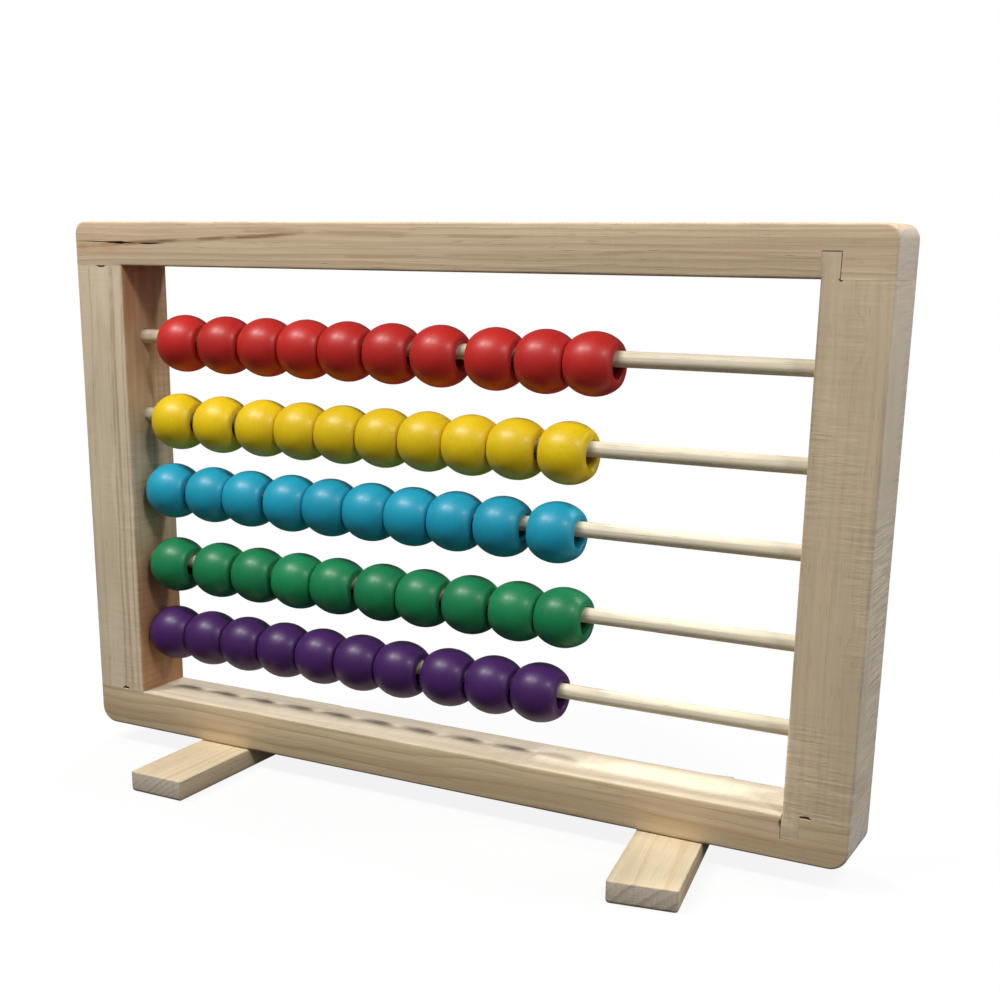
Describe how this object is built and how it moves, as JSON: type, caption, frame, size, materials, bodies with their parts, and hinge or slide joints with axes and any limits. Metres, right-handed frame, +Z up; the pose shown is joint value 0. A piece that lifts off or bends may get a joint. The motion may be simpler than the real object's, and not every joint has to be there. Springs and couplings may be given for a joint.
{
  "type": "abacus",
  "caption": "Counting frame: a wooden frame on two flat swivelling feet, with round rods and coloured beads that slide along them.",
  "frame": {"origin": "on the surface the abacus stands on, under the middle of the frame", "axes": "+X along the rods to the right as seen from the front, +Y from the front to the back, +Z up"},
  "size_m": [0.362, 0.1288, 0.2417],
  "materials": {
    "frame_wood": "bare sawn and sanded softwood, open grain, no varnish",
    "foot_wood": "bare planed softwood with visible end grain",
    "rod_wood": "bare turned dowel",
    "red_paint": "satin red paint on turned wood",
    "yellow_paint": "satin yellow paint on turned wood",
    "blue_paint": "satin turquoise-blue paint on turned wood",
    "green_paint": "satin green paint on turned wood",
    "purple_paint": "satin purple paint on turned wood",
    "screw_steel": "zinc-plated steel"
  },
  "bodies": {
    "frame": {"top_rail_and_left_stile": "frame_wood", "right_stile": "frame_wood", "bottom_rail": "frame_wood", "red_rod": "rod_wood", "yellow_rod": "rod_wood", "blue_rod": "rod_wood", "green_rod": "rod_wood", "purple_rod": "rod_wood"},
    "left_foot": {"left_foot": "foot_wood"},
    "right_foot": {"right_foot": "foot_wood"},
    "red_bead_01": {"red_bead_01": "red_paint"},
    "red_bead_02": {"red_bead_02": "red_paint"},
    "red_bead_03": {"red_bead_03": "red_paint"},
    "red_bead_04": {"red_bead_04": "red_paint"},
    "red_bead_05": {"red_bead_05": "red_paint"},
    "red_bead_06": {"red_bead_06": "red_paint"},
    "red_bead_07": {"red_bead_07": "red_paint"},
    "red_bead_08": {"red_bead_08": "red_paint"},
    "red_bead_09": {"red_bead_09": "red_paint"},
    "red_bead_10": {"red_bead_10": "red_paint"},
    "yellow_bead_01": {"yellow_bead_01": "yellow_paint"},
    "yellow_bead_02": {"yellow_bead_02": "yellow_paint"},
    "yellow_bead_03": {"yellow_bead_03": "yellow_paint"},
    "yellow_bead_04": {"yellow_bead_04": "yellow_paint"},
    "yellow_bead_05": {"yellow_bead_05": "yellow_paint"},
    "yellow_bead_06": {"yellow_bead_06": "yellow_paint"},
    "yellow_bead_07": {"yellow_bead_07": "yellow_paint"},
    "yellow_bead_08": {"yellow_bead_08": "yellow_paint"},
    "yellow_bead_09": {"yellow_bead_09": "yellow_paint"},
    "yellow_bead_10": {"yellow_bead_10": "yellow_paint"},
    "blue_bead_01": {"blue_bead_01": "blue_paint"},
    "blue_bead_02": {"blue_bead_02": "blue_paint"},
    "blue_bead_03": {"blue_bead_03": "blue_paint"},
    "blue_bead_04": {"blue_bead_04": "blue_paint"},
    "blue_bead_05": {"blue_bead_05": "blue_paint"},
    "blue_bead_06": {"blue_bead_06": "blue_paint"},
    "blue_bead_07": {"blue_bead_07": "blue_paint"},
    "blue_bead_08": {"blue_bead_08": "blue_paint"},
    "blue_bead_09": {"blue_bead_09": "blue_paint"},
    "blue_bead_10": {"blue_bead_10": "blue_paint"},
    "green_bead_01": {"green_bead_01": "green_paint"},
    "green_bead_02": {"green_bead_02": "green_paint"},
    "green_bead_03": {"green_bead_03": "green_paint"},
    "green_bead_04": {"green_bead_04": "green_paint"},
    "green_bead_05": {"green_bead_05": "green_paint"},
    "green_bead_06": {"green_bead_06": "green_paint"},
    "green_bead_07": {"green_bead_07": "green_paint"},
    "green_bead_08": {"green_bead_08": "green_paint"},
    "green_bead_09": {"green_bead_09": "green_paint"},
    "green_bead_10": {"green_bead_10": "green_paint"},
    "purple_bead_01": {"purple_bead_01": "purple_paint"},
    "purple_bead_02": {"purple_bead_02": "purple_paint"},
    "purple_bead_03": {"purple_bead_03": "purple_paint"},
    "purple_bead_04": {"purple_bead_04": "purple_paint"},
    "purple_bead_05": {"purple_bead_05": "purple_paint"},
    "purple_bead_06": {"purple_bead_06": "purple_paint"},
    "purple_bead_07": {"purple_bead_07": "purple_paint"},
    "purple_bead_08": {"purple_bead_08": "purple_paint"},
    "purple_bead_09": {"purple_bead_09": "purple_paint"},
    "purple_bead_10": {"purple_bead_10": "purple_paint"}
  },
  "joints": [
    {"name": "left_foot_swivel", "type": "hinge", "parent": "frame", "child": "left_foot", "pos_m": [-0.108, 0, 0.0047], "axis": [0, 0, 1], "range_deg": [-90, 90]},
    {"name": "right_foot_swivel", "type": "hinge", "parent": "frame", "child": "right_foot", "pos_m": [0.108, 0, 0.0047], "axis": [0, 0, 1], "range_deg": [-99.8, 80.2]},
    {"name": "red_bead_01_slide", "type": "slide", "parent": "frame", "child": "red_bead_01", "axis": [1, 0, 0], "range_m": [-0.0129, 0.00779]},
    {"name": "red_bead_02_slide", "type": "slide", "parent": "red_bead_01", "child": "red_bead_02", "axis": [1, 0, 0], "range_m": [-0.0021, 0.00779]},
    {"name": "red_bead_03_slide", "type": "slide", "parent": "red_bead_02", "child": "red_bead_03", "axis": [1, 0, 0], "range_m": [-0.0012, 0.00779]},
    {"name": "red_bead_04_slide", "type": "slide", "parent": "red_bead_03", "child": "red_bead_04", "axis": [1, 0, 0], "range_m": [-0.0003, 0.00779]},
    {"name": "red_bead_05_slide", "type": "slide", "parent": "red_bead_04", "child": "red_bead_05", "axis": [1, 0, 0], "range_m": [-0.0002, 0.00779]},
    {"name": "red_bead_06_slide", "type": "slide", "parent": "red_bead_05", "child": "red_bead_06", "axis": [1, 0, 0], "range_m": [-0.0014, 0.00779]},
    {"name": "red_bead_07_slide", "type": "slide", "parent": "red_bead_06", "child": "red_bead_07", "axis": [1, 0, 0], "range_m": [-0.0024, 0.00779]},
    {"name": "red_bead_08_slide", "type": "slide", "parent": "red_bead_07", "child": "red_bead_08", "axis": [1, 0, 0], "range_m": [-0.0045, 0.00779]},
    {"name": "red_bead_09_slide", "type": "slide", "parent": "red_bead_08", "child": "red_bead_09", "axis": [1, 0, 0], "range_m": [-0.0015, 0.00779]},
    {"name": "red_bead_10_slide", "type": "slide", "parent": "red_bead_09", "child": "red_bead_10", "axis": [1, 0, 0], "range_m": [-0.0002, 0.00779]},
    {"name": "yellow_bead_01_slide", "type": "slide", "parent": "frame", "child": "yellow_bead_01", "axis": [1, 0, 0], "range_m": [-0.0081, 0.00878]},
    {"name": "yellow_bead_02_slide", "type": "slide", "parent": "yellow_bead_01", "child": "yellow_bead_02", "axis": [1, 0, 0], "range_m": [-0.0029, 0.00878]},
    {"name": "yellow_bead_03_slide", "type": "slide", "parent": "yellow_bead_02", "child": "yellow_bead_03", "axis": [1, 0, 0], "range_m": [-0.0026, 0.00878]},
    {"name": "yellow_bead_04_slide", "type": "slide", "parent": "yellow_bead_03", "child": "yellow_bead_04", "axis": [1, 0, 0], "range_m": [-0.0002, 0.00878]},
    {"name": "yellow_bead_05_slide", "type": "slide", "parent": "yellow_bead_04", "child": "yellow_bead_05", "axis": [1, 0, 0], "range_m": [-0.0002, 0.00878]},
    {"name": "yellow_bead_06_slide", "type": "slide", "parent": "yellow_bead_05", "child": "yellow_bead_06", "axis": [1, 0, 0], "range_m": [-0.0002, 0.00878]},
    {"name": "yellow_bead_07_slide", "type": "slide", "parent": "yellow_bead_06", "child": "yellow_bead_07", "axis": [1, 0, 0], "range_m": [-0.0002, 0.00878]},
    {"name": "yellow_bead_08_slide", "type": "slide", "parent": "yellow_bead_07", "child": "yellow_bead_08", "axis": [1, 0, 0], "range_m": [-0.0002, 0.00878]},
    {"name": "yellow_bead_09_slide", "type": "slide", "parent": "yellow_bead_08", "child": "yellow_bead_09", "axis": [1, 0, 0], "range_m": [-0.0002, 0.00878]},
    {"name": "yellow_bead_10_slide", "type": "slide", "parent": "yellow_bead_09", "child": "yellow_bead_10", "axis": [1, 0, 0], "range_m": [-0.0021, 0.00878]},
    {"name": "blue_bead_01_slide", "type": "slide", "parent": "frame", "child": "blue_bead_01", "axis": [1, 0, 0], "range_m": [-0.0029, 0.0092]},
    {"name": "blue_bead_02_slide", "type": "slide", "parent": "blue_bead_01", "child": "blue_bead_02", "axis": [1, 0, 0], "range_m": [-0.0021, 0.0092]},
    {"name": "blue_bead_03_slide", "type": "slide", "parent": "blue_bead_02", "child": "blue_bead_03", "axis": [1, 0, 0], "range_m": [-0.0002, 0.0092]},
    {"name": "blue_bead_04_slide", "type": "slide", "parent": "blue_bead_03", "child": "blue_bead_04", "axis": [1, 0, 0], "range_m": [-0.0018, 0.0092]},
    {"name": "blue_bead_05_slide", "type": "slide", "parent": "blue_bead_04", "child": "blue_bead_05", "axis": [1, 0, 0], "range_m": [-0.0002, 0.0092]},
    {"name": "blue_bead_06_slide", "type": "slide", "parent": "blue_bead_05", "child": "blue_bead_06", "axis": [1, 0, 0], "range_m": [-0.0002, 0.0092]},
    {"name": "blue_bead_07_slide", "type": "slide", "parent": "blue_bead_06", "child": "blue_bead_07", "axis": [1, 0, 0], "range_m": [-0.0002, 0.0092]},
    {"name": "blue_bead_08_slide", "type": "slide", "parent": "blue_bead_07", "child": "blue_bead_08", "axis": [1, 0, 0], "range_m": [-0.0002, 0.0092]},
    {"name": "blue_bead_09_slide", "type": "slide", "parent": "blue_bead_08", "child": "blue_bead_09", "axis": [1, 0, 0], "range_m": [-0.0013, 0.0092]},
    {"name": "blue_bead_10_slide", "type": "slide", "parent": "blue_bead_09", "child": "blue_bead_10", "axis": [1, 0, 0], "range_m": [-0.0036, 0.0092]},
    {"name": "green_bead_01_slide", "type": "slide", "parent": "frame", "child": "green_bead_01", "axis": [1, 0, 0], "range_m": [-0.0033, 0.00878]},
    {"name": "green_bead_02_slide", "type": "slide", "parent": "green_bead_01", "child": "green_bead_02", "axis": [1, 0, 0], "range_m": [-0.0042, 0.00878]},
    {"name": "green_bead_03_slide", "type": "slide", "parent": "green_bead_02", "child": "green_bead_03", "axis": [1, 0, 0], "range_m": [-0.0012, 0.00878]},
    {"name": "green_bead_04_slide", "type": "slide", "parent": "green_bead_03", "child": "green_bead_04", "axis": [1, 0, 0], "range_m": [-0.0015, 0.00878]},
    {"name": "green_bead_05_slide", "type": "slide", "parent": "green_bead_04", "child": "green_bead_05", "axis": [1, 0, 0], "range_m": [-0.0002, 0.00878]},
    {"name": "green_bead_06_slide", "type": "slide", "parent": "green_bead_05", "child": "green_bead_06", "axis": [1, 0, 0], "range_m": [-0.0026, 0.00878]},
    {"name": "green_bead_07_slide", "type": "slide", "parent": "green_bead_06", "child": "green_bead_07", "axis": [1, 0, 0], "range_m": [-0.0002, 0.00878]},
    {"name": "green_bead_08_slide", "type": "slide", "parent": "green_bead_07", "child": "green_bead_08", "axis": [1, 0, 0], "range_m": [-0.002, 0.00878]},
    {"name": "green_bead_09_slide", "type": "slide", "parent": "green_bead_08", "child": "green_bead_09", "axis": [1, 0, 0], "range_m": [-0.0014, 0.00878]},
    {"name": "green_bead_10_slide", "type": "slide", "parent": "green_bead_09", "child": "green_bead_10", "axis": [1, 0, 0], "range_m": [-0.0002, 0.00878]},
    {"name": "purple_bead_01_slide", "type": "slide", "parent": "frame", "child": "purple_bead_01", "axis": [1, 0, 0], "range_m": [-0.0009, 0.00976]},
    {"name": "purple_bead_02_slide", "type": "slide", "parent": "purple_bead_01", "child": "purple_bead_02", "axis": [1, 0, 0], "range_m": [-0.0002, 0.00976]},
    {"name": "purple_bead_03_slide", "type": "slide", "parent": "purple_bead_02", "child": "purple_bead_03", "axis": [1, 0, 0], "range_m": [-0.0002, 0.00976]},
    {"name": "purple_bead_04_slide", "type": "slide", "parent": "purple_bead_03", "child": "purple_bead_04", "axis": [1, 0, 0], "range_m": [-0.0002, 0.00976]},
    {"name": "purple_bead_05_slide", "type": "slide", "parent": "purple_bead_04", "child": "purple_bead_05", "axis": [1, 0, 0], "range_m": [-0.0002, 0.00976]},
    {"name": "purple_bead_06_slide", "type": "slide", "parent": "purple_bead_05", "child": "purple_bead_06", "axis": [1, 0, 0], "range_m": [-0.0002, 0.00976]},
    {"name": "purple_bead_07_slide", "type": "slide", "parent": "purple_bead_06", "child": "purple_bead_07", "axis": [1, 0, 0], "range_m": [-0.0002, 0.00976]},
    {"name": "purple_bead_08_slide", "type": "slide", "parent": "purple_bead_07", "child": "purple_bead_08", "axis": [1, 0, 0], "range_m": [-0.0027, 0.00976]},
    {"name": "purple_bead_09_slide", "type": "slide", "parent": "purple_bead_08", "child": "purple_bead_09", "axis": [1, 0, 0], "range_m": [-0.0013, 0.00976]},
    {"name": "purple_bead_10_slide", "type": "slide", "parent": "purple_bead_09", "child": "purple_bead_10", "axis": [1, 0, 0], "range_m": [-0.0009, 0.00976]}
  ]
}
